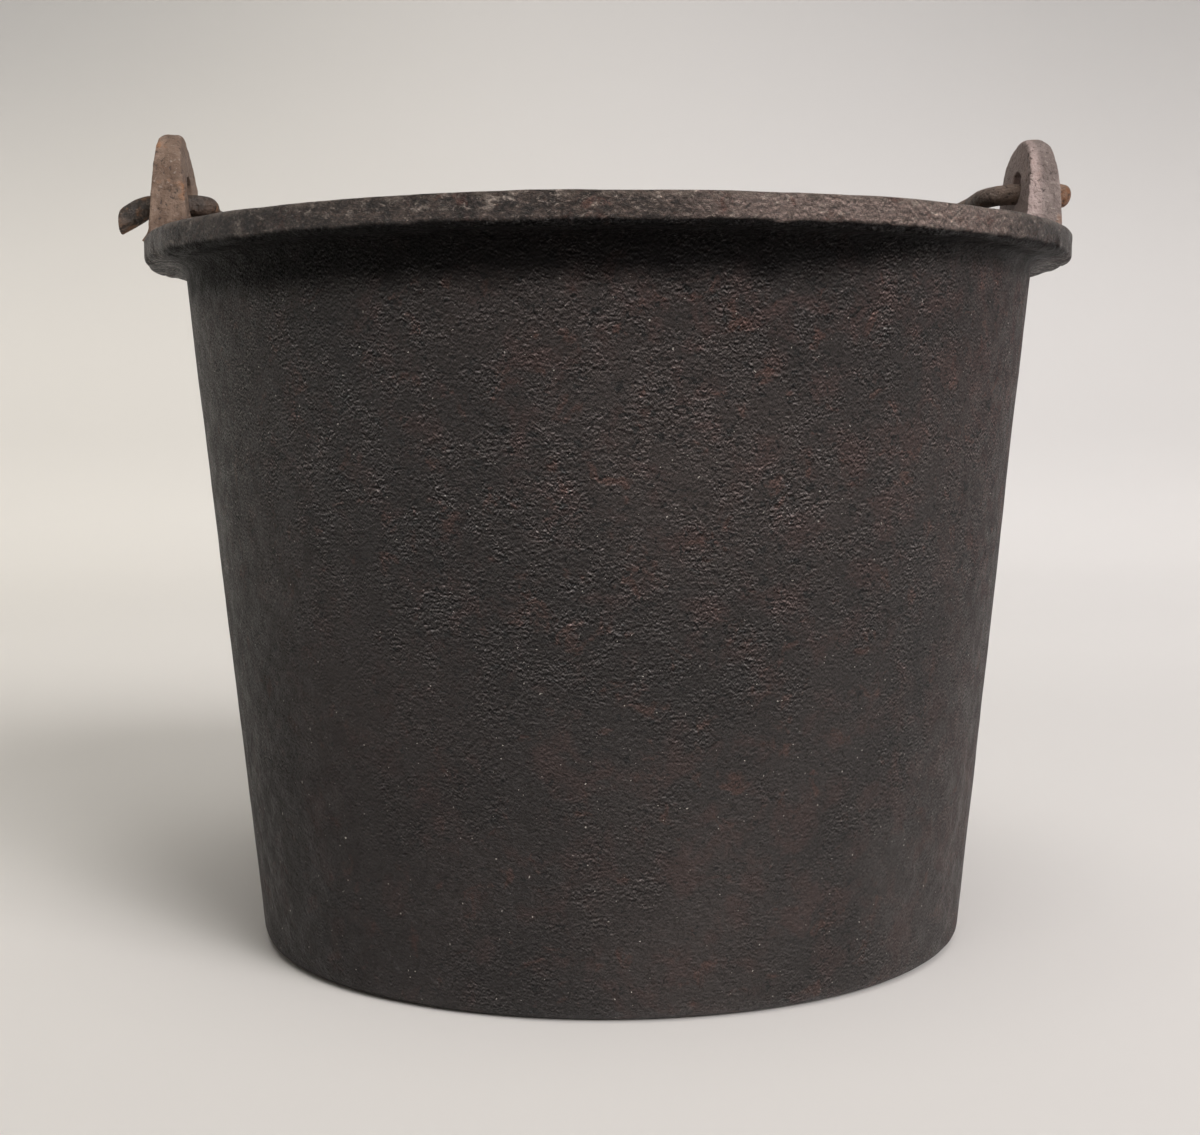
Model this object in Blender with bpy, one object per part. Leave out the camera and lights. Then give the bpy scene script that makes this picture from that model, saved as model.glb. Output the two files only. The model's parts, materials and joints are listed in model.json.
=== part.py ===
"""A small cast iron pail: a tapered pot with a flat flange for a rim, two ears that stand on
the flange, and a forged round-rod bail that swings in the ears' holes.

Metres, +Z up. The origin is the middle of the flat underside, the ears are on the X axis, and
the bail is folded back towards +Y, where its bow rests on the flange.
"""

import math
from collections import namedtuple

import bmesh
import bpy
from mathutils import Matrix, Vector

GAP = 0.0003  # left between two pieces that touch

# Pot: one casting, turned about Z
RIM_RADIUS = 0.100
RIM_TOP = 0.1514
RIM_THICKNESS = 0.0060
RIM_UPPER_ROUND = 0.0010
RIM_LOWER_ROUND = 0.0018
WALL_TOP_RADIUS = 0.0916  # outer face, where it meets the flange
BASE_RADIUS = 0.0770
BASE_ROUND = 0.0035
WALL_THICKNESS = 0.0040
FLOOR_THICKNESS = 0.0050
POT_SEGMENTS = 96

# Ears: a tombstone plate on the flange. Heights are above the flange.
Ear = namedtuple("Ear", "side height half_width thickness hole_height hole_radius")
LEFT_EAR = Ear(-1, 0.0238, 0.0104, 0.0087, 0.0102, 0.0044)
RIGHT_EAR = Ear(1, 0.0232, 0.0120, 0.0087, 0.0125, 0.0037)
EAR_OUTER_X = 0.0987
EAR_OUTER_DRAFT = 0.06  # inward shift of the outer face for each unit of height
EAR_INNER_DRAFT = 0.10
EAR_SHOULDER = 0.0152  # where the straight sides end and the round top starts
EAR_FOOT_FLARE = 0.0010
EAR_EDGE_BEVEL = 0.0010

# Bail: one forged rod. Its left end is low in its hole, and its right end is 3 mm higher.
ROD_RADIUS = 0.0023
PIVOT_Y = -0.0010
BAIL_REACH = 0.0945  # from the pivot axis to the rod's axis at the crown
LEFT_LEG_X = -0.0877
RIGHT_LEG_X = 0.0851
LEFT_BEND_RADIUS = 0.0034
RIGHT_BEND_RADIUS = 0.0072
LEFT_TIP_X = -0.1066
RIGHT_TIP_X = 0.1035
RIGHT_TIP_DROP = 0.0011
LEFT_KINK_DEPTH = 0.0010  # the left leg dips out of the bail's plane, just behind its ear
LEFT_KINK_REACH = 0.0090
LEFT_DROOP_ANGLE = math.radians(29)
LEFT_DROOP_START_X = -0.0978
LEFT_DROOP_BEND_RADIUS = 0.0090
END_SWELL = 1.15  # the ends are thicker than the rod, by the hammering


def rod_height(ear):
    """The height above the flange of the rod's axis, where it rests in this ear's hole."""
    return ear.hole_height - ear.hole_radius + GAP + ROD_RADIUS


PIVOT_HEIGHT = (rod_height(LEFT_EAR) + rod_height(RIGHT_EAR)) / 2
PIVOT = Vector((0.0, PIVOT_Y, RIM_TOP + PIVOT_HEIGHT))
TILT = math.atan((rod_height(RIGHT_EAR) - rod_height(LEFT_EAR)) / (2 * EAR_OUTER_X))
BOW_DROP = PIVOT_HEIGHT - ROD_RADIUS - GAP
TILT_DROP = RIGHT_LEG_X * math.sin(TILT)
FOLD_ANGLE = math.asin(math.sqrt(BOW_DROP**2 - TILT_DROP**2) / BAIL_REACH)  # below the horizontal


def clear_scene():
    for obj in list(bpy.data.objects):
        bpy.data.objects.remove(obj)


def iron(name, colour, roughness, metallic):
    material = bpy.data.materials.new(name)
    material.use_nodes = True
    shader = material.node_tree.nodes["Principled BSDF"]
    shader.inputs["Base Color"].default_value = (*colour, 1.0)
    shader.inputs["Roughness"].default_value = roughness
    shader.inputs["Metallic"].default_value = metallic
    return material


def link_mesh(name, built):
    mesh = bpy.data.meshes.new(name)
    bmesh.ops.recalc_face_normals(built, faces=built.faces)
    built.to_mesh(mesh)
    built.free()
    obj = bpy.data.objects.new(name, mesh)
    bpy.context.scene.collection.objects.link(obj)
    return obj


def shade(obj, material):
    obj.data.shade_smooth()
    obj.data.set_sharp_from_angle(angle=math.radians(35))
    obj.data.materials.append(material)


def rounded(corners, steps=4):
    """The outline through corners (x, y, radius), each corner with a radius turned into an arc."""
    outline = []
    for index, (x, y, radius) in enumerate(corners):
        corner = Vector((x, y))
        if radius == 0:
            outline.append(corner)
            continue
        before = (Vector(corners[index - 1][:2]) - corner).normalized()
        after = (Vector(corners[(index + 1) % len(corners)][:2]) - corner).normalized()
        half_turn = before.angle(after) / 2
        centre = corner + (before + after).normalized() * (radius / math.sin(half_turn))
        start = corner + before * (radius / math.tan(half_turn)) - centre
        end = corner + after * (radius / math.tan(half_turn)) - centre
        sweep = start.angle_signed(end)
        for step in range(steps + 1):
            spoke = start.copy()
            spoke.rotate(Matrix.Rotation(-sweep * step / steps, 2))
            outline.append(centre + spoke)
    return outline


def make_pot(material):
    """The vessel: floor, tapered wall and flange in one casting."""
    under_rim = RIM_TOP - RIM_THICKNESS
    slope = (WALL_TOP_RADIUS - BASE_RADIUS) / under_rim
    inside_top = WALL_TOP_RADIUS + slope * RIM_THICKNESS - WALL_THICKNESS
    inside_floor = BASE_RADIUS + slope * FLOOR_THICKNESS - WALL_THICKNESS
    profile = rounded([
        (0.0, 0.0, 0.0),
        (BASE_RADIUS, 0.0, BASE_ROUND),
        (WALL_TOP_RADIUS, under_rim, 0.0028),
        (RIM_RADIUS, under_rim, RIM_LOWER_ROUND),
        (RIM_RADIUS, RIM_TOP, RIM_UPPER_ROUND),
        (inside_top, RIM_TOP, 0.0012),
        (inside_floor, FLOOR_THICKNESS, 0.0090),
        (0.0, FLOOR_THICKNESS, 0.0),
    ])
    built = bmesh.new()
    points = [built.verts.new((radius, 0.0, height)) for radius, height in profile]
    edges = [built.edges.new(pair) for pair in zip(points, points[1:])]
    bmesh.ops.spin(
        built, geom=points + edges, axis=(0, 0, 1), cent=(0, 0, 0), angle=math.tau, steps=POT_SEGMENTS
    )
    bmesh.ops.remove_doubles(built, verts=built.verts, dist=1e-6)
    pot = link_mesh("pot_body", built)
    shade(pot, material)


def ear_outline(ear):
    """The ear's face as (y, height above the flange): flared foot, straight sides and a round top."""
    foot = ear.half_width + EAR_FOOT_FLARE
    points = [(-foot, GAP), (foot, GAP)]
    steps = 16
    for step in range(steps + 1):
        angle = math.pi * step / steps
        height = EAR_SHOULDER + (ear.height - EAR_SHOULDER) * math.sin(angle)
        points.append((ear.half_width * math.cos(angle), height))
    return points


def make_ear(name, ear, material):
    built = bmesh.new()
    outer = [built.verts.new((0.0, y, height)) for y, height in ear_outline(ear)]
    face = built.faces.new(outer)
    extruded = bmesh.ops.extrude_face_region(built, geom=[face])["geom"]
    inner = [item for item in extruded if isinstance(item, bmesh.types.BMVert)]
    for vert in inner:
        vert.co.x = EAR_INNER_DRAFT * vert.co.z - ear.thickness
    for vert in outer:
        vert.co.x = -EAR_OUTER_DRAFT * vert.co.z
    above_foot = GAP * 1.5
    rims = [
        edge
        for edge in built.edges
        if max(v.co.z for v in edge.verts) > above_foot and len({v in inner for v in edge.verts}) == 1
    ]
    bmesh.ops.bevel(built, geom=rims, offset=EAR_EDGE_BEVEL, segments=2, affect="EDGES", profile=0.5)
    place = Matrix.Translation((EAR_OUTER_X, 0.0, RIM_TOP))
    mirror = Matrix.Diagonal((ear.side, 1.0, 1.0, 1.0))
    bmesh.ops.transform(built, matrix=mirror @ place, verts=built.verts)
    obj = link_mesh(name, built)
    shade(obj, material)
    cut = obj.modifiers.new("bail_hole", "BOOLEAN")
    cut.operation = "DIFFERENCE"
    cut.object = make_drill(name + "_drill", ear)


def make_drill(name, ear):
    """The cutter of this ear's hole."""
    built = bmesh.new()
    bmesh.ops.create_cone(
        built, cap_ends=True, segments=28, radius1=ear.hole_radius, radius2=ear.hole_radius, depth=0.030
    )
    place = Matrix.Translation((ear.side * EAR_OUTER_X, PIVOT_Y, RIM_TOP + ear.hole_height))
    bmesh.ops.transform(built, matrix=place @ Matrix.Rotation(math.pi / 2, 4, "Y"), verts=built.verts)
    drill = link_mesh(name, built)
    drill.hide_render = True
    drill.display_type = "WIRE"
    return drill


def arc(centre, radius, start, end, steps):
    angles = [start + (end - start) * step / steps for step in range(steps + 1)]
    return [(centre[0] + radius * math.cos(a), centre[1] + radius * math.sin(a)) for a in angles]


def left_end():
    """The tip, which droops outside its ear, to the straight run through the hole."""
    quarter = math.pi / 2
    bend_centre = (LEFT_DROOP_START_X, -LEFT_DROOP_BEND_RADIUS)
    bend = arc(bend_centre, LEFT_DROOP_BEND_RADIUS, quarter + LEFT_DROOP_ANGLE, quarter, 5)
    run = bend[0][0] - LEFT_TIP_X
    fall = run * math.tan(LEFT_DROOP_ANGLE)
    rounding = [(0.0, 0.55), (0.05, 0.80), (0.14, 0.95), (0.28, 1.0)]  # along the run, and of the rod
    path = [
        (LEFT_TIP_X + share * run, 0.0, bend[0][1] - (1 - share) * fall, END_SWELL * thick)
        for share, thick in rounding
    ]
    swell = [1 + (END_SWELL - 1) * (1 - step / 5) for step in range(6)]
    return path + [(x, 0.0, height, thick) for (x, height), thick in zip(bend, swell)]


def bow():
    """The legs and the arch between them, and the bends from the legs into the ears."""
    quarter = math.pi / 2
    bend = arc((LEFT_LEG_X - LEFT_BEND_RADIUS, LEFT_BEND_RADIUS), LEFT_BEND_RADIUS, -quarter, 0, 6)
    path = [(x, reach, 0.0, 1.0) for x, reach in bend]
    half_span = (RIGHT_LEG_X - LEFT_LEG_X) / 2
    middle = (RIGHT_LEG_X + LEFT_LEG_X) / 2
    steps = 56
    for step in range(1, steps):
        angle = math.pi * (1 - step / steps)
        start = LEFT_BEND_RADIUS + (RIGHT_BEND_RADIUS - LEFT_BEND_RADIUS) * step / steps
        reach = start + (BAIL_REACH - start) * math.sin(angle)
        kink = math.exp(-((reach / LEFT_KINK_REACH - 1) ** 2)) if step < steps / 2 else 0.0
        path.append((middle + half_span * math.cos(angle), reach, -LEFT_KINK_DEPTH * kink, 1.0))
    bend = arc(
        (RIGHT_LEG_X + RIGHT_BEND_RADIUS, RIGHT_BEND_RADIUS), RIGHT_BEND_RADIUS, 2 * quarter, 3 * quarter, 7
    )
    return path + [(x, reach, 0.0, 1.0) for x, reach in bend]


def right_end():
    """A short stub that stands out of its ear."""
    stub = 0.0040
    rounding = [(stub, 1.0), (0.0026, END_SWELL), (0.0011, END_SWELL), (0.0004, 0.90), (0.0, 0.60)]
    return [
        (RIGHT_TIP_X - back, 0.0, -RIGHT_TIP_DROP * (1 - back / stub), thick) for back, thick in rounding
    ]


def make_bail(material):
    path = left_end() + bow() + right_end()
    curve = bpy.data.curves.new("bail", "CURVE")
    curve.dimensions = "3D"
    curve.bevel_depth = ROD_RADIUS
    curve.bevel_resolution = 4
    curve.use_fill_caps = True
    spline = curve.splines.new("POLY")
    spline.points.add(len(path) - 1)
    for point, (x, reach, height, thick) in zip(spline.points, path):
        point.co = (x, reach, height, 1.0)
        point.radius = thick
    spline.use_smooth = True
    curve.materials.append(material)
    bail = bpy.data.objects.new("bail", curve)
    fold = Matrix.Rotation(-FOLD_ANGLE, 4, "X")
    tilt = Matrix.Rotation(-TILT, 4, "Y")
    bail.matrix_world = Matrix.Translation(PIVOT) @ tilt @ fold
    bpy.context.scene.collection.objects.link(bail)


def main():
    clear_scene()
    pot_iron = iron("cast_iron", (0.040, 0.034, 0.031), 0.62, 0.35)
    ear_iron = iron("worn_cast_iron", (0.110, 0.078, 0.060), 0.66, 0.30)
    rod_iron = iron("forged_iron", (0.085, 0.055, 0.038), 0.55, 0.45)
    make_pot(pot_iron)
    make_ear("left_ear", LEFT_EAR, ear_iron)
    make_ear("right_ear", RIGHT_EAR, ear_iron)
    make_bail(rod_iron)


main()
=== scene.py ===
"""Looks of the cast iron pail: the casting, its two ears and the forged bail, with their rough iron
surfaces, in a plain pale studio. Metres, in the CAD model's frame.
"""

import json
import math

import bmesh
import bpy
from mathutils import Matrix, Vector, noise


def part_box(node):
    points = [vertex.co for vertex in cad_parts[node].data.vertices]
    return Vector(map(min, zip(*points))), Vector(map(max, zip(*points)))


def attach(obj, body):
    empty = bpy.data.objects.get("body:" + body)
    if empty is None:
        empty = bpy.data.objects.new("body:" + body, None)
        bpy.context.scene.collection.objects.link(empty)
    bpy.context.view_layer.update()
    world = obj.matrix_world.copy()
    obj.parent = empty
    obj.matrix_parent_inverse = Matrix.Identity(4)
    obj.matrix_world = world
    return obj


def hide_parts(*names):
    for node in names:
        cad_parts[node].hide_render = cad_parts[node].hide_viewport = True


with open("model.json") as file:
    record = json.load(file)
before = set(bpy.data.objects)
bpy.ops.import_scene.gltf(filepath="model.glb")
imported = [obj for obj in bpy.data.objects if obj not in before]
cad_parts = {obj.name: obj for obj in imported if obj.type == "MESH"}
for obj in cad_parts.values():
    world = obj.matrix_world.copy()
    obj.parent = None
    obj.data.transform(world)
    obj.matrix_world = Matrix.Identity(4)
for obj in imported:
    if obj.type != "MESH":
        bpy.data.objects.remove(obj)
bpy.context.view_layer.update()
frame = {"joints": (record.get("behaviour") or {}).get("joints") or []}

# The casting, as in part.py
RIM_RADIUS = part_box("pot_body")[1].x
RIM_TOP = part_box("pot_body")[1].z
RIM_THICKNESS = 0.0060
UNDER_RIM = RIM_TOP - RIM_THICKNESS
RIM_UPPER_ROUND = 0.0010
RIM_LOWER_ROUND = 0.0018
RIM_INNER_ROUND = 0.0012
UNDER_RIM_FILLET = 0.0028
WALL_TOP_RADIUS = 0.0916
BASE_RADIUS = 0.0770
BASE_ROUND = 0.0035
WALL_THICKNESS = 0.0040
FLOOR_THICKNESS = 0.0050
INSIDE_ROUND = 0.0090
WALL_SLOPE = (WALL_TOP_RADIUS - BASE_RADIUS) / UNDER_RIM
INSIDE_TOP_RADIUS = WALL_TOP_RADIUS + WALL_SLOPE * RIM_THICKNESS - WALL_THICKNESS
INSIDE_FLOOR_RADIUS = BASE_RADIUS + WALL_SLOPE * FLOOR_THICKNESS - WALL_THICKNESS

# The ears, as in part.py but for their lower shoulders, rounded tops and fillets
EARS = {
    "left_ear": dict(side=-1, height=0.0238, half_width=0.0104, thickness=0.0087,
                     shoulder=0.0110, hole_height=0.0102, hole_radius=0.0044),
    "right_ear": dict(side=1, height=0.0232, half_width=0.0120, thickness=0.0087,
                      shoulder=0.0115, hole_height=0.0125, hole_radius=0.0037),
}
EAR_OUTER_X = 0.0987
EAR_OUTER_DRAFT = 0.06
EAR_INNER_DRAFT = 0.10
EAR_TOP_ROUND = 0.0015
EAR_FOOT_DEPTH = 0.0016  # how far an ear goes on below the flange's top face
EAR_FILLET = 0.0012
EAR_FILLET_HEIGHT = 0.0030
PIVOT_Y = -0.0010

# The bail, as in part.py but for its blunted tips
ROD_RADIUS = 0.0023
TOUCHING_GAP = 0.0003  # between the folded bail and the flange
BAIL_REACH = 0.0945
LEFT_LEG_X = -0.0877
RIGHT_LEG_X = 0.0851
LEFT_BEND_RADIUS = 0.0034
RIGHT_BEND_RADIUS = 0.0072
LEFT_TIP_X = -0.1066
RIGHT_TIP_X = 0.1035
RIGHT_TIP_DROP = 0.0011
LEFT_DROOP_ANGLE = math.radians(29)
LEFT_DROOP_START_X = -0.0978
LEFT_DROOP_BEND_RADIUS = 0.0090
LEFT_KINK_DEPTH = 0.0010
LEFT_KINK_REACH = 0.0090
END_SWELL = 1.15
TIP_ROUND = 0.0013
TIP_REACH = 0.0016  # how far the left tip is drawn out before it is cut off

# How fine the meshes are
COLUMNS = 400  # around the casting, and twice as many on the flange
FLANGE_ROW = 0.00075
OUTSIDE_ROW = 0.0019
INSIDE_ROW = 0.0055
FLAT_ROW = 0.014
EAR_VOXEL = 0.00026
EAR_TOP_STEPS = 28
ROD_SIDES = 28
BOW_STEPS = 220
BEND_STEPS = 12

# The camera
CAMERA_DISTANCE = 0.425
CAMERA_HEIGHT = 0.1106
CAMERA_TURN = math.radians(-3.4)
CAMERA_PITCH = 0.0721
CAMERA_YAW = -0.0048
CAMERA_ROLL = -0.0049
LENS_MM = 57.0

# Colours, in linear light. The tints are factors that another colour is multiplied by.
IRON_DARK = (0.0240, 0.0188, 0.0171)
IRON_LIGHT = (0.0375, 0.0287, 0.0258)
IRON_BROWN = (0.0500, 0.0280, 0.0240)
IRON_RUST = (0.0850, 0.0380, 0.0270)
# painted shade in the grain's hollows
IRON_TROUGH = (0.0055, 0.0048, 0.0045)
IRON_PIT = (0.0025, 0.0022, 0.0021)
# painted glints
IRON_PAINTED_GLINT = (0.600, 0.560, 0.500)
# painted shadow under the flange
PAINTED_FLANGE_SHADOW = (0.0034, 0.0030, 0.0032)
PALE_FLECK = (0.300, 0.270, 0.245)
FAR_RIGHT_TINT = (1.00, 0.72, 0.72)
# painted shade low on the wall's left
LOW_LEFT_SHADE_TINT = (0.52, 0.42, 0.44)
# painted light high on the wall's right
HIGH_RIGHT_LIGHT_TINT = (1.45, 1.42, 1.42)
RIM_DARK = (0.040, 0.030, 0.026)
RIM_LIGHT = (0.135, 0.098, 0.082)
# painted highlight on the flange right of the middle
RIM_HIGHLIGHT = (0.345, 0.258, 0.225)
RIM_GRAIN = (0.420, 0.350, 0.300)
RIM_FLAKE = (0.460, 0.385, 0.330)
RIM_HOLLOW = (0.012, 0.0095, 0.0085)
RIM_RUST = (0.130, 0.052, 0.038)
# painted shade towards the flange's two ends
RIM_SHADE_LEFT = (0.018, 0.014, 0.0125)
RIM_SHADE_RIGHT = (0.040, 0.029, 0.026)
# the flange's top edge: partly pale wear, partly a painted highlight from above
RIM_EDGE = (0.330, 0.270, 0.225)
RIM_CRACK = (0.010, 0.0082, 0.0075)
LEFT_EAR_BROWN = (0.158, 0.100, 0.069)
LEFT_EAR_PALE = (0.282, 0.196, 0.145)
RIGHT_EAR_BROWN = (0.176, 0.136, 0.122)
RIGHT_EAR_PALE = (0.292, 0.235, 0.214)
EAR_RUST = (0.360, 0.175, 0.085)
# painted light on the right ear's inner face
EAR_INNER_FACE_LIGHT = (0.560, 0.430, 0.400)
EAR_HOLLOW = (0.040, 0.030, 0.026)
EAR_GRAIN = (0.480, 0.420, 0.370)
LEFT_ROD_DARK = (0.034, 0.026, 0.021)
LEFT_ROD_PALE = (0.110, 0.074, 0.054)
RIGHT_ROD_DARK = (0.150, 0.108, 0.086)
RIGHT_ROD_PALE = (0.310, 0.225, 0.180)
ROD_RUST = (0.225, 0.110, 0.050)
ROD_HOLLOW = (0.016, 0.012, 0.010)
ROD_GRAIN = (0.330, 0.270, 0.220)
RIGHT_TIP_TINT = (0.80, 0.66, 0.54)
# the paper is darker towards -X: painted shade that deepens the shadow there
PAPER_LEFT = (0.845, 0.815, 0.757)
PAPER_RIGHT = (0.905, 0.880, 0.868)
PAPER_TONE = (0.60, 0.58, 0.55)
# painted shade up the backdrop and on its wall, and painted light on the far floor
PAPER_SHADE_GREY = (0.42, 0.415, 0.405)
WALL_SHADE_TINT = (0.930, 0.930, 0.930)
FAR_FLOOR_LIGHT_TINT = (1.065, 1.065, 1.065)

GRAIN_SHIFT = 8.0  # where the casting's grain and its relief are read in the noise, so that they agree


# ---------------------------------------------------------------- meshes


def clamped(value):
    return min(1.0, max(0.0, value))


def fractal(point, size, octaves=3):
    """Noise between about -1 and 1, with features of this size."""
    return noise.fractal(point / size, 1.0, 2.0, octaves, noise_basis="PERLIN_ORIGINAL")


def rounded(corners, steps=6):
    """The outline through corners (x, y, radius), each corner with a radius turned into an arc."""
    outline = []
    for index, (x, y, radius) in enumerate(corners):
        corner = Vector((x, y))
        if radius == 0:
            outline.append(corner)
            continue
        before = (Vector(corners[index - 1][:2]) - corner).normalized()
        after = (Vector(corners[(index + 1) % len(corners)][:2]) - corner).normalized()
        half_turn = before.angle(after) / 2
        centre = corner + (before + after).normalized() * (radius / math.sin(half_turn))
        start = corner + before * (radius / math.tan(half_turn)) - centre
        end = corner + after * (radius / math.tan(half_turn)) - centre
        sweep = start.angle_signed(end)
        for step in range(steps + 1):
            spoke = start.copy()
            spoke.rotate(Matrix.Rotation(-sweep * step / steps, 2))
            outline.append(centre + spoke)
    return outline


def arc(centre, radius, start, end, steps):
    angles = [start + (end - start) * step / steps for step in range(steps + 1)]
    return [(centre[0] + radius * math.cos(a), centre[1] + radius * math.sin(a)) for a in angles]


def link(name, data):
    obj = bpy.data.objects.new(name, data)
    bpy.context.scene.collection.objects.link(obj)
    return obj


def mesh_object(name, points, faces):
    mesh = bpy.data.meshes.new(name)
    mesh.from_pydata([tuple(p) for p in points], [], faces)
    mesh.validate()
    mesh.update()
    mesh.shade_smooth()
    return link(name, mesh)


def mesh_from(built, name):
    """The mesh that was built, which is then freed."""
    mesh = bpy.data.meshes.new(name)
    built.to_mesh(mesh)
    built.free()
    return mesh


def bridge(first, n, second, m):
    """Faces between two rings that start at these indices and have n and m points."""
    if n == 1:
        return [(first, second + (k + 1) % m, second + k) for k in range(m)]
    if m == 1:
        return [(first + k, first + (k + 1) % n, second) for k in range(n)]
    if n == m:
        return [(first + k, first + (k + 1) % n, second + (k + 1) % n, second + k) for k in range(n)]
    faces = []
    if m == 2 * n:
        for k in range(n):
            a, b = first + k, first + (k + 1) % n
            c, d, e = second + 2 * k, second + 2 * k + 1, second + (2 * k + 2) % m
            faces += [(a, d, c), (a, b, d), (b, e, d)]
    else:
        for k in range(m):
            a, b = second + k, second + (k + 1) % m
            c, d, e = first + 2 * k, first + 2 * k + 1, first + (2 * k + 2) % n
            faces += [(c, d, a), (d, b, a), (d, e, b)]
    return faces


def resampled(line, spacing):
    """Points along a polyline, no further apart than spacing(point) asks."""
    out = [line[0]]
    for a, b in zip(line, line[1:]):
        count = max(1, math.ceil((b - a).length / spacing((a + b) / 2)))
        out += [a.lerp(b, step / count) for step in range(1, count + 1)]
    return out


def pail_spacing(point):
    """How far apart the casting's rows are: closest on the flange, and closer outside than inside."""
    radius, height = point
    if height > UNDER_RIM - 0.0004 and radius > WALL_TOP_RADIUS - 0.0045:
        return FLANGE_ROW
    if height < 0.0001 or (height < FLOOR_THICKNESS + 0.0002 and radius < 0.060):
        return FLAT_ROW
    outer_radius = BASE_RADIUS + (WALL_TOP_RADIUS - BASE_RADIUS) * height / RIM_TOP
    return OUTSIDE_ROW if radius > outer_radius - 0.002 else INSIDE_ROW


def pail_profile():
    """The casting's section as (radius, height), from the middle of the base to the middle of the floor."""
    return rounded([
        (0.0, 0.0, 0.0),
        (BASE_RADIUS, 0.0, BASE_ROUND),
        (WALL_TOP_RADIUS, UNDER_RIM, UNDER_RIM_FILLET),
        (RIM_RADIUS, UNDER_RIM, RIM_LOWER_ROUND),
        (RIM_RADIUS, RIM_TOP, RIM_UPPER_ROUND),
        (INSIDE_TOP_RADIUS, RIM_TOP, RIM_INNER_ROUND),
        (INSIDE_FLOOR_RADIUS, FLOOR_THICKNESS, INSIDE_ROUND),
        (0.0, FLOOR_THICKNESS, 0.0),
    ])


def rim_wear(point, across, low):
    """Metres to move a point of the flange: the uneven, chipped edge of a rough casting, more so below."""
    wave = 0.00022 * fractal(point, 0.024) + 0.00010 * fractal(point + Vector((3, 1, 2)), 0.0050)
    ragged = 0.00034 * fractal(point + Vector((5, 5, 5)), 0.0080, 4)
    chip = max(0.0, fractal(point + Vector((7, 7, 7)), 0.0070, 4) - 0.35) * 0.0020
    return wave * (0.35 + 0.65 * low) + (ragged - chip) * low * across


def casting_wear(point, radius, height, on_rim):
    """Metres to move a point of the casting outwards. The base is never moved down."""
    move = 0.00016 * fractal(point, 0.030) + 0.00005 * fractal(point, 0.0060)
    if on_rim:
        across = clamped((radius - WALL_TOP_RADIUS) / (RIM_RADIUS - WALL_TOP_RADIUS))
        low = clamped((RIM_TOP - 0.0015 - height) / 0.0030)
        move += rim_wear(point, across, low)
    if height < 0.001:
        move = min(move, 0.0) * 0.5
    return move


def make_pail():
    """The casting as one closed mesh. Rows near the rim have twice as many points as the others."""
    rows = resampled(pail_profile(), pail_spacing)
    points, faces, starts = [], [], []
    for index, (radius, height) in enumerate(rows):
        ahead = rows[min(index + 1, len(rows) - 1)] - rows[max(index - 1, 0)]
        normal = Vector((ahead.y, -ahead.x)).normalized()
        on_rim = height > UNDER_RIM - 0.0012 and radius > INSIDE_TOP_RADIUS - 0.0015
        count = COLUMNS * 2 if on_rim else COLUMNS
        if radius < 1e-6:
            count = 1
        starts.append((len(points), count))
        for k in range(count):
            angle = math.tau * k / count
            out = Vector((math.cos(angle), math.sin(angle), 0.0))
            point = Vector((out.x * radius, out.y * radius, height))
            move = casting_wear(point, radius, height, on_rim)
            points.append(point + (out * normal.x + Vector((0, 0, normal.y))) * move)
    for (first, n), (second, m) in zip(starts, starts[1:]):
        faces += bridge(first, n, second, m)
    return mesh_object("pail", points, faces)


def ear_outline(ear):
    """The ear's face as (y, height above the flange), going on below the flange's top face."""
    foot = ear["half_width"] + 0.0010
    points = [(-foot, -EAR_FOOT_DEPTH), (foot, -EAR_FOOT_DEPTH), (foot, 0.0)]
    for step in range(EAR_TOP_STEPS + 1):
        angle = math.pi * step / EAR_TOP_STEPS
        height = ear["shoulder"] + (ear["height"] - ear["shoulder"]) * math.sin(angle)
        points.append((ear["half_width"] * math.cos(angle), height))
    return points + [(-foot, 0.0)]


def ear_plate(name):
    """The ear as a tapered plate: z up from the flange's top face, x = 0 at its outer face there."""
    ear = EARS[name]
    built = bmesh.new()
    outer = [built.verts.new((-EAR_OUTER_DRAFT * h, y, h)) for y, h in ear_outline(ear)]
    face = built.faces.new(outer)
    made = bmesh.ops.extrude_face_region(built, geom=[face])["geom"]
    for vert in made:
        if isinstance(vert, bmesh.types.BMVert):
            vert.co.x = EAR_INNER_DRAFT * vert.co.z - ear["thickness"]
    bmesh.ops.recalc_face_normals(built, faces=built.faces)
    return link(name + "_cast", mesh_from(built, name))


def ear_drill(ear):
    """A cylinder where the ear's hole goes, longer than the ear is thick."""
    built = bmesh.new()
    bmesh.ops.create_cone(built, cap_ends=True, segments=48, radius1=ear["hole_radius"],
                          radius2=ear["hole_radius"], depth=0.030)
    turn = Matrix.Rotation(math.pi / 2, 4, "Y")
    place = Matrix.Translation((0.0, PIVOT_Y, ear["hole_height"]))
    bmesh.ops.transform(built, matrix=place @ turn, verts=built.verts)
    return link("drill", mesh_from(built, "drill"))


def apply_modifiers(obj):
    graph = bpy.context.evaluated_depsgraph_get()
    made = bpy.data.meshes.new_from_object(obj.evaluated_get(graph))
    old = obj.data
    obj.modifiers.clear()
    obj.data = made
    bpy.data.meshes.remove(old)


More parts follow.
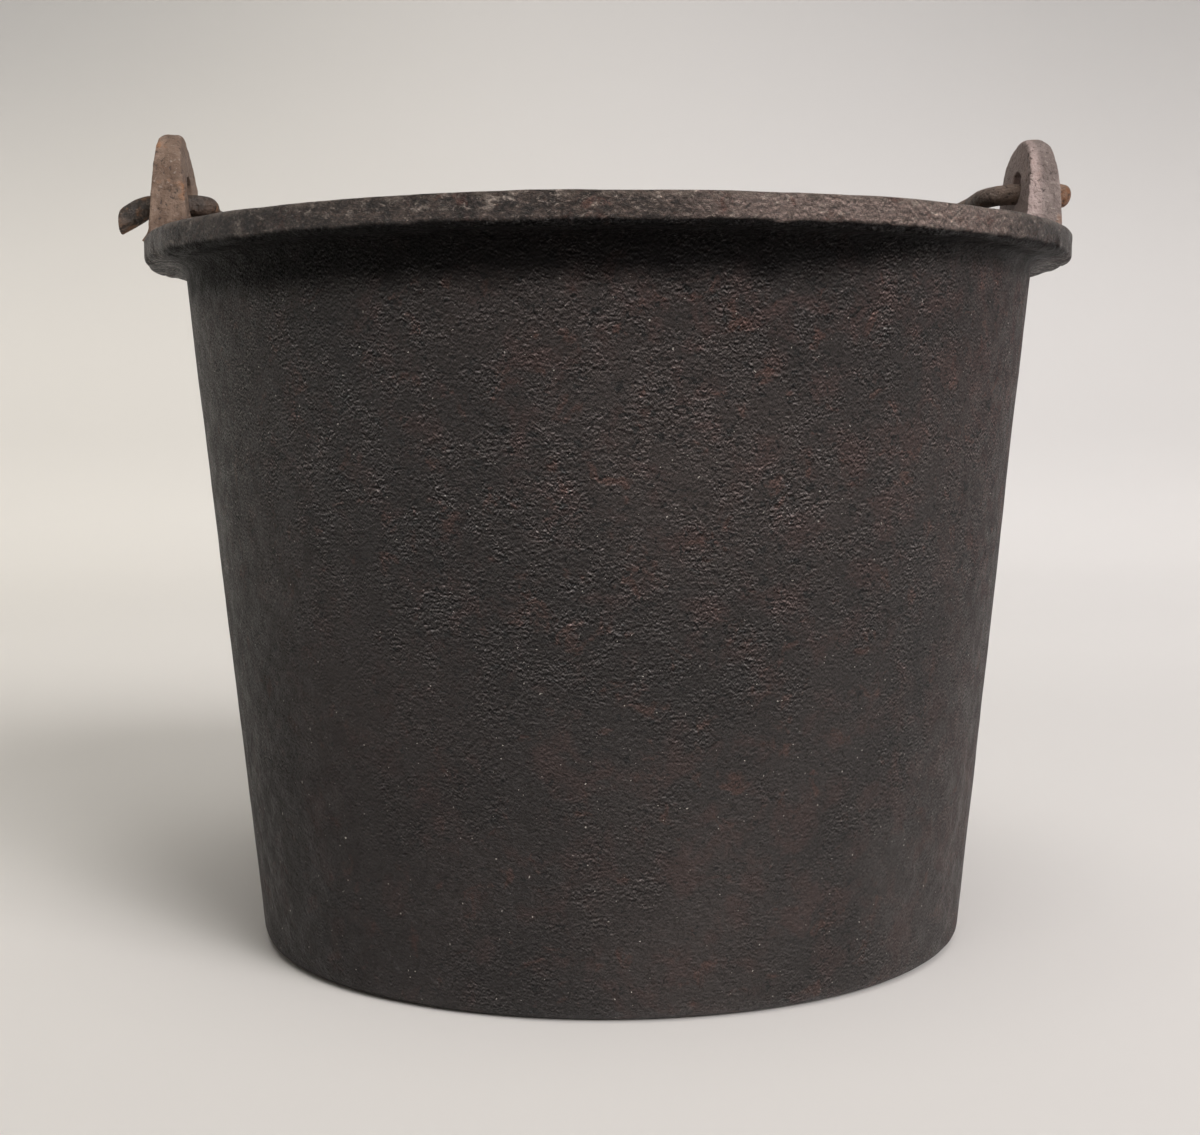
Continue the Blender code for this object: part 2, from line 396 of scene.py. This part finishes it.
def wear_ear(mesh, ear):
    """Makes an ear's surface uneven, widens its foot into a fillet and rounds its top over."""
    normals = [v.normal.copy() for v in mesh.vertices]
    for vert, normal in zip(mesh.vertices, normals):
        point = vert.co.copy()
        level = Vector((normal.x, normal.y, 0.0))
        fillet = EAR_FILLET * max(0.0, 1.0 - abs(point.z) / EAR_FILLET_HEIGHT) ** 2
        flare = fillet - 0.0009 * max(0.0, -point.z / EAR_FOOT_DEPTH)
        seed = point + Vector((ear["side"], 0, 0))
        move = 0.00022 * fractal(seed, 0.0085) + 0.00010 * fractal(seed, 0.0022)
        vert.co = point + level * flare + normal * move
        # the top is rounded over from the inner face to the outer one
        outer_x = -EAR_OUTER_DRAFT * point.z
        inner_x = EAR_INNER_DRAFT * point.z - ear["thickness"]
        edge = max(0.0, EAR_TOP_ROUND - min(outer_x - point.x, point.x - inner_x)) / EAR_TOP_ROUND
        high = clamped((point.z - ear["shoulder"]) / (ear["height"] - ear["shoulder"]))
        vert.co.z -= EAR_TOP_ROUND * 0.7 * (1.0 - math.sqrt(1.0 - min(edge, 1.0) ** 2)) * high ** 2


def make_ear(name):
    """A cast lug: the plate with its hole, edges rounded by wear, and a fillet where it meets the flange."""
    ear = EARS[name]
    plate = ear_plate(name)
    drill = ear_drill(ear)
    cut = plate.modifiers.new("hole", "BOOLEAN")
    cut.object = drill
    remesh = plate.modifiers.new("voxels", "REMESH")
    remesh.mode = "VOXEL"
    remesh.voxel_size = EAR_VOXEL
    remesh.adaptivity = 0.0
    soften = plate.modifiers.new("soften", "SMOOTH")
    soften.factor = 0.5
    soften.iterations = 8
    apply_modifiers(plate)
    bpy.data.objects.remove(drill)

    mesh = plate.data
    wear_ear(mesh, ear)
    mirror = Matrix.Diagonal((ear["side"], 1.0, 1.0, 1.0))
    mesh.transform(mirror @ Matrix.Translation((EAR_OUTER_X, 0.0, RIM_TOP)))
    if ear["side"] < 0:
        mesh.flip_normals()
    mesh.update()
    mesh.shade_smooth()
    return plate


# The bail's path is a list of (x, reach, height, thickness) in the bail's own plane.


def tip_thickness(back, length):
    """The rod's thickness this far back from its tip, where the tip is rounded off over this length."""
    return math.sqrt(max(0.02, 1.0 - max(0.0, 1.0 - back / length) ** 2.4))


def left_end():
    """The drooping left end, from its tip to where the rod is level in the left ear."""
    quarter = math.pi / 2
    centre = (LEFT_DROOP_START_X, -LEFT_DROOP_BEND_RADIUS)
    bend = arc(centre, LEFT_DROOP_BEND_RADIUS, quarter + LEFT_DROOP_ANGLE, quarter, BEND_STEPS)
    bend_x, bend_height = bend[0]
    run = bend_x - LEFT_TIP_X + TIP_REACH
    fall = run * math.tan(LEFT_DROOP_ANGLE)
    path = []
    for share in (0.0, 0.012, 0.04, 0.08, 0.14, 0.22, 0.32, 0.45, 0.6, 0.8):
        thick = END_SWELL * tip_thickness(share, 0.22)
        path.append((bend_x - (1 - share) * run, 0.0, bend_height - (1 - share) * fall, thick))
    for step, (x, height) in enumerate(bend):
        path.append((x, 0.0, height, 1 + (END_SWELL - 1) * (1 - step / BEND_STEPS)))
    return path


def bow():
    """The bend inside the left ear, the bow with a kink near its left foot, and the bend on the right."""
    quarter = math.pi / 2
    left_centre = (LEFT_LEG_X - LEFT_BEND_RADIUS, LEFT_BEND_RADIUS)
    left_bend = arc(left_centre, LEFT_BEND_RADIUS, -quarter, 0, BEND_STEPS)
    path = [(x, reach, 0.0, 1.0) for x, reach in left_bend]
    half_span = (RIGHT_LEG_X - LEFT_LEG_X) / 2
    middle = (RIGHT_LEG_X + LEFT_LEG_X) / 2
    for step in range(1, BOW_STEPS):
        angle = math.pi * (1 - step / BOW_STEPS)
        start = LEFT_BEND_RADIUS + (RIGHT_BEND_RADIUS - LEFT_BEND_RADIUS) * step / BOW_STEPS
        reach = start + (BAIL_REACH - start) * math.sin(angle)
        kink = math.exp(-((reach / LEFT_KINK_REACH - 1) ** 2)) if step < BOW_STEPS / 2 else 0.0
        path.append((middle + half_span * math.cos(angle), reach, -LEFT_KINK_DEPTH * kink, 1.0))
    right_centre = (RIGHT_LEG_X + RIGHT_BEND_RADIUS, RIGHT_BEND_RADIUS)
    right_bend = arc(right_centre, RIGHT_BEND_RADIUS, 2 * quarter, 3 * quarter, 16)
    return path + [(x, reach, 0.0, 1.0) for x, reach in right_bend]


def right_end(start_x):
    """The stub that goes out through the right ear from start_x, with closer steps towards its tip."""
    steps = 20
    path = []
    for step in range(1, steps + 1):
        share = 1 - (1 - step / steps) ** 1.6
        x = start_x + (RIGHT_TIP_X - start_x) * share
        back = RIGHT_TIP_X - x
        swell = 1 + (END_SWELL - 1) * clamped((x - EAR_OUTER_X + 0.0006) / 0.0012)
        drop = RIGHT_TIP_DROP * max(0.0, 1 - back / 0.0040)
        path.append((x, 0.0, -drop, swell * tip_thickness(back, 0.0019)))
    return path


def blunt(x):
    """x moved so that nothing passes the left tip's cut, with a rounded edge there."""
    past = LEFT_TIP_X + TIP_ROUND - x
    return x if past <= 0 else LEFT_TIP_X + TIP_ROUND * math.exp(-past / TIP_ROUND)


def bail_place():
    """From the bail's own plane to where it lies at rest, folded back onto the flange."""
    joint = frame["joints"][0]
    pivot = Vector(joint["pos_m"])
    axis = Vector(joint["axis"]).normalized()
    tilt = math.atan2(axis.z, axis.x)
    drop = pivot.z - RIM_TOP - ROD_RADIUS - TOUCHING_GAP
    fold = math.asin(math.sqrt(drop**2 - (RIGHT_LEG_X * math.sin(tilt)) ** 2) / BAIL_REACH)
    return Matrix.Translation(pivot) @ Matrix.Rotation(-tilt, 4, "Y") @ Matrix.Rotation(-fold, 4, "X")


def make_bail():
    """The forged rod: a tube along its path, with an uneven surface."""
    place = bail_place()
    path = left_end() + bow()
    path += right_end(path[-1][0])
    centres = [Vector((x, reach, height)) for x, reach, height, _ in path]
    points, faces = [], []
    normal = Vector((0, 0, 1))
    for index, centre in enumerate(centres):
        ahead = centres[min(index + 1, len(centres) - 1)] - centres[max(index - 1, 0)]
        ahead.normalize()
        normal = (normal - ahead * normal.dot(ahead)).normalized()
        side = ahead.cross(normal)
        radius = ROD_RADIUS * path[index][3]
        for k in range(ROD_SIDES):
            angle = math.tau * k / ROD_SIDES
            out = normal * math.cos(angle) + side * math.sin(angle)
            point = centre + out * radius
            point.x = blunt(point.x)
            move = 0.00010 * fractal(point, 0.0110) + 0.00005 * fractal(point, 0.0026)
            points.append(place @ (point + out * (move - 0.00006)))
    for ring in range(len(centres) - 1):
        faces += bridge(ring * ROD_SIDES, ROD_SIDES, (ring + 1) * ROD_SIDES, ROD_SIDES)
    faces.append(tuple(reversed(range(ROD_SIDES))))
    last = (len(centres) - 1) * ROD_SIDES
    faces.append(tuple(range(last, last + ROD_SIDES)))
    obj = mesh_object("bail_rod", points, faces)
    fix = bmesh.new()
    fix.from_mesh(obj.data)
    bmesh.ops.recalc_face_normals(fix, faces=fix.faces)
    fix.to_mesh(obj.data)
    fix.free()
    return obj


# ---------------------------------------------------------------- materials


class Nodes:
    """Short calls that add shader nodes and join them."""

    def __init__(self, name):
        self.material = bpy.data.materials.new(name)
        self.material.use_nodes = True
        self.tree = self.material.node_tree
        self.shader = self.tree.nodes["Principled BSDF"]
        self.where = self.tree.nodes.new("ShaderNodeTexCoord").outputs["Object"]

    def put(self, socket, value):
        if isinstance(value, bpy.types.NodeSocket):
            self.tree.links.new(value, socket)
        elif isinstance(value, tuple) and len(value) == 3 and len(socket.default_value) == 4:
            socket.default_value = (*value, 1.0)
        else:
            socket.default_value = value

    def shade(self, colour, roughness, specular, normal=None):
        """Joins these to the material's shader."""
        self.put(self.shader.inputs["Base Color"], colour)
        self.put(self.shader.inputs["Roughness"], roughness)
        self.put(self.shader.inputs["Specular IOR Level"], specular)
        if normal is not None:
            self.put(self.shader.inputs["Normal"], normal)
        return self.material

    def add(self, kind, inputs=(), **settings):
        node = self.tree.nodes.new("ShaderNode" + kind)
        for key, value in settings.items():
            setattr(node, key, value)
        for key, value in dict(inputs).items():
            self.put(node.inputs[key], value)
        return node

    def maths(self, operation, a, b=0.0, c=0.0):
        node = self.add("Math", operation=operation)
        for socket, value in zip(node.inputs, (a, b, c)):
            self.put(socket, value)
        return node.outputs[0]

    def times(self, a, b):
        return self.maths("MULTIPLY", a, b)

    def scaled(self, value, factor, offset):
        """value * factor + offset"""
        return self.maths("MULTIPLY_ADD", value, factor, offset)

    def noise(self, size, detail=2.0, rough=0.5, stretch=(1, 1, 1), shift=0.0, warp=0.0, lift=0.0):
        """Noise from 0 to 1 with features of this size in metres, read lift metres higher up."""
        location = (shift, shift * 0.7, shift * 0.3 + lift * stretch[2])
        where = self.add("Mapping", {"Vector": self.where, "Scale": stretch, "Location": location}).outputs[0]
        node = self.add("TexNoise", {"Vector": where, "Scale": 1 / size, "Detail": detail,
                                     "Roughness": rough, "Distortion": warp})
        return node.outputs["Fac"]

    def band(self, value, low, high, to_low=0.0, to_high=1.0):
        """value taken from low..high to to_low..to_high, smoothly, and held outside that range."""
        node = self.add("MapRange", {"Value": value, "From Min": low, "From Max": high,
                                     "To Min": to_low, "To Max": to_high}, interpolation_type="SMOOTHSTEP")
        return node.outputs[0]

    def blend(self, share, a, b, mode="MIX"):
        node = self.add("Mix", data_type="RGBA", blend_type=mode, clamp_factor=True)
        self.put(node.inputs[0], share)
        self.put(node.inputs[6], a)
        self.put(node.inputs[7], b)
        return node.outputs[2]

    def tint(self, share, colour, factor):
        """colour times factor, where share is 1, and unchanged where it is 0."""
        return self.blend(share, colour, factor, "MULTIPLY")

    def relief_shading(self, strength, size, stretch, lift, warp):
        """How light a rough wall looks, lit from above: about 1, more on the upper sides of its ridges."""
        lower = self.noise(size, 2, 0.65, stretch, GRAIN_SHIFT, warp, lift=-lift)
        upper = self.noise(size, 2, 0.65, stretch, GRAIN_SHIFT, warp, lift=lift)
        return self.maths("POWER", 2.0, self.times(self.maths("SUBTRACT", lower, upper), strength))

    def bump(self, height, depth):
        return self.add("Bump", {"Height": height, "Strength": 1.0, "Distance": depth}).outputs[0]

    def position(self):
        return self.add("SeparateXYZ", {"Vector": self.where}).outputs


def casting_places(n):
    """Where on the casting each treatment lies, as shares between 0 and 1, by name."""
    x, _, height = n.position()
    off_centre = n.maths("ABSOLUTE", x)
    patch = n.band(n.noise(0.030, 2, 0.5, shift=4.0), 0.42, 0.60)
    high_up = n.band(height, 0.030, 0.115)
    # the painted shadow's lower edge under the flange is uneven, and higher towards +X
    painted_flange_shadow_edge = n.scaled(n.band(x, 0.02, 0.07), -0.0060, height)
    painted_flange_shadow_edge = n.scaled(n.noise(0.0080, 3, 0.5, shift=51.0), 0.004, painted_flange_shadow_edge)
    painted_flange_shadow = n.band(painted_flange_shadow_edge, UNDER_RIM - 0.0095, UNDER_RIM - 0.0030)
    ragged = n.scaled(n.noise(0.0060, 3, 0.6, shift=57.0), 0.0016, height)
    below_rim = n.band(height, UNDER_RIM - 0.0060, UNDER_RIM - 0.0030)
    return {
        "coarse": n.maths("ADD", n.times(high_up, 0.65), n.times(patch, 0.35)),
        "facing": n.band(off_centre, 0.045, 0.095, 1.0, 0.45),
        "browner": n.band(x, -0.08, 0.09),
        "far_right": n.band(x, 0.050, 0.090),
        # painted shade low on the left
        "low_left_painted_shade": n.times(n.band(x, -0.080, 0.020, 1.0, 0.0), n.band(height, 0.030, 0.135, 1.0, 0.25)),
        # painted light high on the right
        "high_right_painted_light": n.times(n.band(x, -0.070, 0.010), n.band(height, 0.060, 0.125)),
        # painted shadow under the flange, half as dark at its two ends
        "painted_flange_shadow": n.times(painted_flange_shadow, n.band(off_centre, 0.086, 0.094, 1.0, 0.50)),
        "flange_ends": n.times(n.band(off_centre, 0.088, 0.095), below_rim),
        # the flange's face; its lower rounded edge is left to the painted shadow below it
        "rim": n.band(ragged, UNDER_RIM + 0.0016, UNDER_RIM + 0.0025),
        # the top edge: partly pale wear, partly a painted highlight from above
        "rim_edge": n.band(height, RIM_TOP - 0.0016, RIM_TOP - 0.0006, 0.0, 0.45),
        # painted shade towards the flange's left end
        "rim_painted_shade_left": n.band(x, -0.095, 0.01, 0.62, 0.0),
        # a painted highlight on the flange right of the middle
        "rim_painted_highlight": n.times(n.band(x, -0.010, 0.035), n.band(x, 0.058, 0.084, 1.0, 0.0)),
        # painted shade at the flange's right end
        "rim_painted_shade_right": n.band(x, 0.066, 0.086, 0.0, 0.75),
    }


def wall_colour(n, place, grain, relief_shading, pit, rust):
    """Blackish iron, browner in patches and towards +X, with rust and dark pits. Painted light and shade: a
    shadow under the flange, shade low on the left and in the grain's hollows, light high on the right and on
    the grain's ridges, and tiny glints.
    """
    broad = n.noise(0.050, 3, 0.55, shift=1.0)
    colour = n.blend(n.band(broad, 0.38, 0.64), IRON_DARK, IRON_LIGHT)
    brown = n.scaled(place["browner"], 0.060, n.noise(0.0085, 4, 0.66, shift=17.0, warp=0.4))
    colour = n.blend(n.band(brown, 0.52, 0.68, 0.0, 0.80), colour, IRON_BROWN)
    colour = n.blend(n.band(rust, 0.58, 0.68, 0.0, 0.62), colour, IRON_RUST)
    colour = n.tint(place["far_right"], colour, FAR_RIGHT_TINT)
    # painted shade low on the left
    colour = n.tint(place["low_left_painted_shade"], colour, LOW_LEFT_SHADE_TINT)
    # painted light high on the right
    colour = n.tint(place["high_right_painted_light"], colour, HIGH_RIGHT_LIGHT_TINT)
    # painted shade in the grain's hollows, deeper high up and in coarse patches
    trough = n.times(n.band(grain, 0.36, 0.48, 1.0, 0.0), n.scaled(place["coarse"], 0.30, 0.20))
    colour = n.blend(trough, colour, IRON_TROUGH)
    # painted light and shade on the grain, lit from above
    colour = n.tint(1.0, colour, relief_shading)
    colour = n.blend(n.times(pit, 0.92), colour, IRON_PIT)
    # tiny painted glints
    painted_glint = n.noise(0.00070, 1, 0.5, shift=31.0)
    colour = n.blend(n.band(painted_glint, 0.775, 0.790), colour, IRON_PAINTED_GLINT)
    # painted shadow under the flange
    colour = n.blend(n.times(place["painted_flange_shadow"], 0.93), colour, PAINTED_FLANGE_SHADOW)
    fleck = n.band(n.noise(0.0013, 3, 0.6, stretch=(1, 1, 2), shift=61.0), 0.52, 0.62, 0.0, 0.90)
    return n.blend(n.times(fleck, place["flange_ends"]), colour, PALE_FLECK)


def flange_colour(n, place, grain, rust):
    """The worn flange: brown-grey with pale flakes and cracks. Painted light and shade: a highlight right of
    the middle, shade towards both ends, light and shade on its grain from above, and a highlight along its
    top edge, which is partly pale wear.
    """
    wear = n.noise(0.0042, 4, 0.7, stretch=(1, 1, 1.6), shift=23.0)
    colour = n.blend(n.band(wear, 0.38, 0.60), RIM_DARK, RIM_LIGHT)
    # painted highlight right of the middle
    colour = n.blend(n.times(place["rim_painted_highlight"], 0.80), colour, RIM_HIGHLIGHT)
    colour = n.blend(n.band(grain, 0.56, 0.68, 0.0, 0.55), colour, RIM_GRAIN)
    flake = n.noise(0.0022, 3, 0.62, stretch=(1, 1, 1.6), shift=37.0, warp=0.5)
    colour = n.blend(n.band(flake, 0.57, 0.66, 0.0, 0.75), colour, RIM_FLAKE)
    colour = n.blend(n.band(flake, 0.32, 0.43, 0.80, 0.0), colour, RIM_HOLLOW)
    colour = n.blend(n.band(rust, 0.56, 0.66, 0.0, 0.60), colour, RIM_RUST)
    # painted shade towards both ends
    colour = n.blend(place["rim_painted_shade_left"], colour, RIM_SHADE_LEFT)
    colour = n.blend(place["rim_painted_shade_right"], colour, RIM_SHADE_RIGHT)
    # painted light and shade on the flange's grain, lit from above
    colour = n.tint(1.0, colour, n.relief_shading(4.2, 0.00110, (1, 1, 1.9), lift=0.00026, warp=0.9))
    # top edge paler: partly wear, partly a painted highlight from above
    edge = n.times(place["rim_edge"], n.band(n.noise(0.0030, 3, 0.6, shift=45.0), 0.40, 0.58))
    colour = n.blend(edge, colour, RIM_EDGE)
    crack = n.noise(0.0075, 4, 0.7, stretch=(1, 1, 1.3), shift=13.0, warp=0.8)
    crack = n.band(n.maths("ABSOLUTE", n.maths("SUBTRACT", crack, 0.5)), 0.003, 0.014, 0.65, 0.0)
    return n.blend(crack, colour, RIM_CRACK)


def pail_material():
    """Rough cast iron. Its grain is in the bump, and is also painted into the colour as light from above on
    its ridges and shade below them, and into the sheen.
    """
    n = Nodes("pail_iron")
    place = casting_places(n)
    coarse = place["coarse"]
    grain = n.noise(0.00090, 3, 0.70, stretch=(1, 1, 2.0), shift=GRAIN_SHIFT, warp=0.4)
    # how strong the painted light and shade on the grain is: stronger high up, in coarse patches and where
    # the wall faces the front, and uneven
    uneven = n.band(n.noise(0.0055, 3, 0.6, shift=71.0), 0.34, 0.66, 0.45, 1.25)
    strength = n.times(n.times(n.scaled(coarse, 7.2, 2.6), place["facing"]), uneven)
    relief_shading = n.relief_shading(strength, 0.00078, (1, 1, 1.7), lift=0.00019, warp=0.9)
    lumps = n.noise(0.0032, 3, 0.58, stretch=(1, 1, 1.4), shift=5.0, warp=0.5)
    pits = n.noise(0.00170, 2, 0.60, stretch=(1, 1, 1.15), shift=41.0, warp=0.8)
    pit = n.band(n.maths("SUBTRACT", n.scaled(coarse, 0.070, 0.335), pits), 0.0, 0.016)
    rust = n.noise(0.0052, 4, 0.65, shift=27.0, warp=0.6)
    wall = wall_colour(n, place, grain, relief_shading, pit, rust)
    colour = n.blend(place["rim"], wall, flange_colour(n, place, grain, rust))

    ridge = n.times(n.band(grain, 0.52, 0.68), n.scaled(coarse, 0.40, 0.20))
    rough = n.band(n.noise(0.0050, 3, 0.6, shift=2.0), 0.3, 0.7, 0.42, 0.60)
    rough = n.scaled(place["rim"], -0.08, n.scaled(ridge, -0.12, rough))
    # less sheen in the painted shadow under the flange
    sheen = n.times(n.scaled(place["painted_flange_shadow"], -0.46, 0.58), relief_shading)
    # less sheen where the painted shade lies low on the left
    sheen = n.times(sheen, n.scaled(place["low_left_painted_shade"], -0.45, 1.0))
    sheen = n.times(sheen, n.scaled(place["far_right"], -0.40, 1.0))
    sheen = n.scaled(place["rim"], 0.40, sheen)
    surface = n.scaled(grain, n.scaled(coarse, 0.90, 0.45), n.times(lumps, 0.9))
    surface = n.maths("SUBTRACT", surface, n.times(pit, 0.25))
    return n.shade(colour, rough, sheen, n.bump(surface, 0.0030))


def ear_material():
    """Worn iron: brown with orange rust on the left ear, paler and greyer on the right one, with painted
    light on the right ear's inner face.
    """
    n = Nodes("ear_iron")
    x, _, _ = n.position()
    right = n.band(x, -0.05, 0.05)
    # painted light on the right ear's inner face
    inner_face_painted_light = n.times(n.band(x, EAR_OUTER_X - 0.0060, EAR_OUTER_X - 0.0040, 0.60, 0.0), right)
    broad = n.noise(0.0065, 4, 0.62, shift=3.0)
    brown = n.blend(right, LEFT_EAR_BROWN, RIGHT_EAR_BROWN)
    pale = n.blend(right, LEFT_EAR_PALE, RIGHT_EAR_PALE)
    colour = n.blend(n.band(broad, 0.36, 0.62), brown, pale)
    rust = n.band(n.noise(0.0050, 4, 0.6, shift=14.0, warp=0.4), 0.54, 0.70)
    colour = n.blend(n.times(rust, n.scaled(right, -0.50, 0.80)), colour, EAR_RUST)
    # painted light on the right ear's inner face
    colour = n.blend(inner_face_painted_light, colour, EAR_INNER_FACE_LIGHT)
    grain = n.noise(0.00110, 4, 0.66, shift=19.0)
    colour = n.blend(n.band(grain, 0.44, 0.32, 0.0, 0.80), colour, EAR_HOLLOW)
    colour = n.blend(n.band(grain, 0.58, 0.72, 0.0, 0.55), colour, EAR_GRAIN)
    lumps = n.noise(0.0035, 3, 0.5, shift=5.0)
    rough = n.band(broad, 0.3, 0.7, 0.52, 0.74)
    return n.shade(colour, rough, 0.45, n.bump(n.scaled(lumps, 0.9, grain), 0.0009))


def rod_material():
    """Forged iron: dark brown on the left and over the bow, paler on the right, orange at the ends."""
    n = Nodes("rod_iron")
    x, _, _ = n.position()
    right = n.band(x, 0.060, 0.080)
    broad = n.noise(0.0080, 4, 0.6, shift=6.0)
    low = n.blend(right, LEFT_ROD_DARK, RIGHT_ROD_DARK)
    high = n.blend(right, LEFT_ROD_PALE, RIGHT_ROD_PALE)
    colour = n.blend(n.band(broad, 0.36, 0.64), low, high)
    rust = n.noise(0.0040, 4, 0.6, shift=33.0, warp=0.4)
    end = n.band(n.maths("ABSOLUTE", x), 0.097, 0.106, 0.0, 0.12)
    colour = n.blend(n.band(n.maths("ADD", rust, end), 0.56, 0.72, 0.0, 0.85), colour, ROD_RUST)
    grain = n.noise(0.0012, 3, 0.68, shift=19.0)
    colour = n.blend(n.band(grain, 0.34, 0.46, 0.75, 0.0), colour, ROD_HOLLOW)
    colour = n.blend(n.band(grain, 0.58, 0.72, 0.0, 0.45), colour, ROD_GRAIN)
    colour = n.tint(n.band(x, 0.096, 0.100), colour, RIGHT_TIP_TINT)
    lumps = n.noise(0.0040, 3, 0.5, shift=5.0)
    rough = n.band(broad, 0.3, 0.7, 0.42, 0.64)
    return n.shade(colour, rough, 0.5, n.bump(n.scaled(lumps, 1.2, grain), 0.0009))


def paper_material():
    """Pale paper, a little warmer towards -X. Painted shade: darker towards -X, greyer up the backdrop and
    towards its top corners, and darker on the backdrop's wall; painted light on the far floor.
    """
    n = Nodes("paper")
    x, y, z = n.position()
    colour = n.blend(n.band(x, -0.5, 0.5), PAPER_LEFT, PAPER_RIGHT)
    colour = n.blend(n.band(n.noise(0.30, 2, 0.5), 0.3, 0.7, 0.0, 0.03), colour, PAPER_TONE)
    # painted shade: greyer up the backdrop
    colour = n.blend(n.times(n.band(z, -0.10, 1.05), 0.54), colour, PAPER_SHADE_GREY)
    # painted shade: greyer towards the backdrop's top corners
    sides = n.maths("ADD", n.band(x, -0.75, 0.05, 0.80, 0.0), n.band(x, 0.15, 0.85, 0.0, 0.30))
    colour = n.blend(n.times(sides, n.band(z, 0.15, 0.75)), colour, PAPER_SHADE_GREY)
    # painted shade: the backdrop's wall darker than the floor
    wall = n.band(z, 0.00, 0.12)
    # painted light: the far floor lighter
    far_floor_light = n.times(n.band(y, 0.20, 0.60), n.maths("SUBTRACT", 1.0, wall))
    colour = n.tint(wall, colour, WALL_SHADE_TINT)
    colour = n.tint(far_floor_light, colour, FAR_FLOOR_LIGHT_TINT)
    return n.shade(colour, 0.9, 0.1)


# ---------------------------------------------------------------- studio


def make_studio():
    """A seamless paper bowl: a flat floor that curves up all round."""
    flat, curve, top = 1.0, 1.1, 3.0
    curve_steps, sides = 12, 96
    profile = [Vector((0.0, 0.0)), Vector((flat / 2, 0.0)), Vector((flat, 0.0))]
    for step in range(1, curve_steps + 1):
        angle = math.pi / 2 * step / curve_steps
        profile.append(Vector((flat + curve * math.sin(angle), curve * (1 - math.cos(angle)))))
    profile.append(Vector((flat + curve, top)))
    points, faces, starts = [], [], []
    for radius, height in profile:
        count = 1 if radius == 0 else sides
        starts.append((len(points), count))
        for k in range(count):
            angle = math.tau * k / count
            points.append((radius * math.cos(angle), radius * math.sin(angle), height))
    for (first, n), (second, m) in zip(starts, starts[1:]):
        faces += [tuple(reversed(face)) for face in bridge(first, n, second, m)]
    floor = mesh_object("paper_floor", points, faces)
    floor.location.z = -0.0001  # just under the pail, so that the two faces don't lie in one plane
    floor.data.materials.append(paper_material())
    floor.visible_shadow = False


def direction(azimuth, elevation):
    """Unit vector towards a light, this many degrees right of the camera's side and above the floor."""
    a, e = math.radians(azimuth), math.radians(elevation)
    towards = Vector((math.sin(a) * math.cos(e), -math.cos(a) * math.cos(e), math.sin(e)))
    towards.rotate(Matrix.Rotation(CAMERA_TURN, 3, "Z"))
    return towards


def add_light(name, kind, towards, energy, colour):
    light = bpy.data.lights.new(name, kind)
    light.energy = energy
    light.color = colour
    obj = link(name, light)
    obj.rotation_euler = (-towards).to_track_quat("-Z", "Y").to_euler()
    return obj


def soft_sun(name, azimuth, elevation, spread, energy, colour):
    """A sun lamp that is this many degrees wide."""
    obj = add_light(name, "SUN", direction(azimuth, elevation), energy, colour)
    obj.data.angle = math.radians(spread)


def make_lights():
    """A wide key light from the right, two fill lights, a softbox for the sheen and a faint world."""
    soft_sun("key", azimuth=31, elevation=27, spread=20, energy=1.10, colour=(1.0, 0.985, 0.985))
    soft_sun("front", azimuth=10, elevation=60, spread=40, energy=0.72, colour=(1.0, 0.98, 0.97))
    soft_sun("top", azimuth=0, elevation=78, spread=40, energy=0.50, colour=(1.0, 0.98, 0.92))
    towards = direction(40, 30)
    distance = 1.5
    box = add_light("softbox", "AREA", towards, energy=8.3, colour=(1.0, 0.96, 0.98))
    box.location = towards * distance
    box.data.shape = "DISK"
    box.data.size = 0.6
    box.visible_camera = False
    world = bpy.data.worlds.new("studio")
    world.use_nodes = True
    background = world.node_tree.nodes["Background"].inputs
    background["Color"].default_value = (1.0, 1.0, 1.0, 1.0)
    background["Strength"].default_value = 0.03
    bpy.context.scene.world = world


def make_camera():
    """The photograph's camera, as fitted to the outlines of the rim, the wall and the base."""
    data = bpy.data.cameras.new("camera")
    data.lens = LENS_MM
    data.sensor_width = 36.0
    data.clip_start = 0.01
    data.clip_end = 20.0
    camera = link("camera", data)
    ahead = Vector((math.sin(CAMERA_YAW) * math.cos(CAMERA_PITCH),
                    math.cos(CAMERA_YAW) * math.cos(CAMERA_PITCH), -math.sin(CAMERA_PITCH)))
    right = ahead.cross(Vector((0, 0, 1))).normalized()
    up = right.cross(ahead)
    roll = math.cos(CAMERA_ROLL), math.sin(CAMERA_ROLL)
    columns = (right * roll[0] + up * roll[1], up * roll[0] - right * roll[1], -ahead)
    turn = Matrix(columns).transposed().to_4x4()
    place = Matrix.Translation((0.0, -CAMERA_DISTANCE, CAMERA_HEIGHT))
    camera.matrix_world = Matrix.Rotation(CAMERA_TURN, 4, "Z") @ place @ turn
    bpy.context.scene.camera = camera


def main():
    pail = make_pail()
    pail.data.materials.append(pail_material())
    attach(pail, "pot")
    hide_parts("pot_body")
    ears = ear_material()
    for name in EARS:
        ear = make_ear(name)
        ear.data.materials.clear()
        ear.data.materials.append(ears)
        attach(ear, "pot")
        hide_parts(name)
    bail = make_bail()
    bail.data.materials.append(rod_material())
    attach(bail, "bail")
    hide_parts("bail")
    make_studio()
    make_lights()
    make_camera()
    bpy.context.scene.view_settings.view_transform = "Standard"


main()
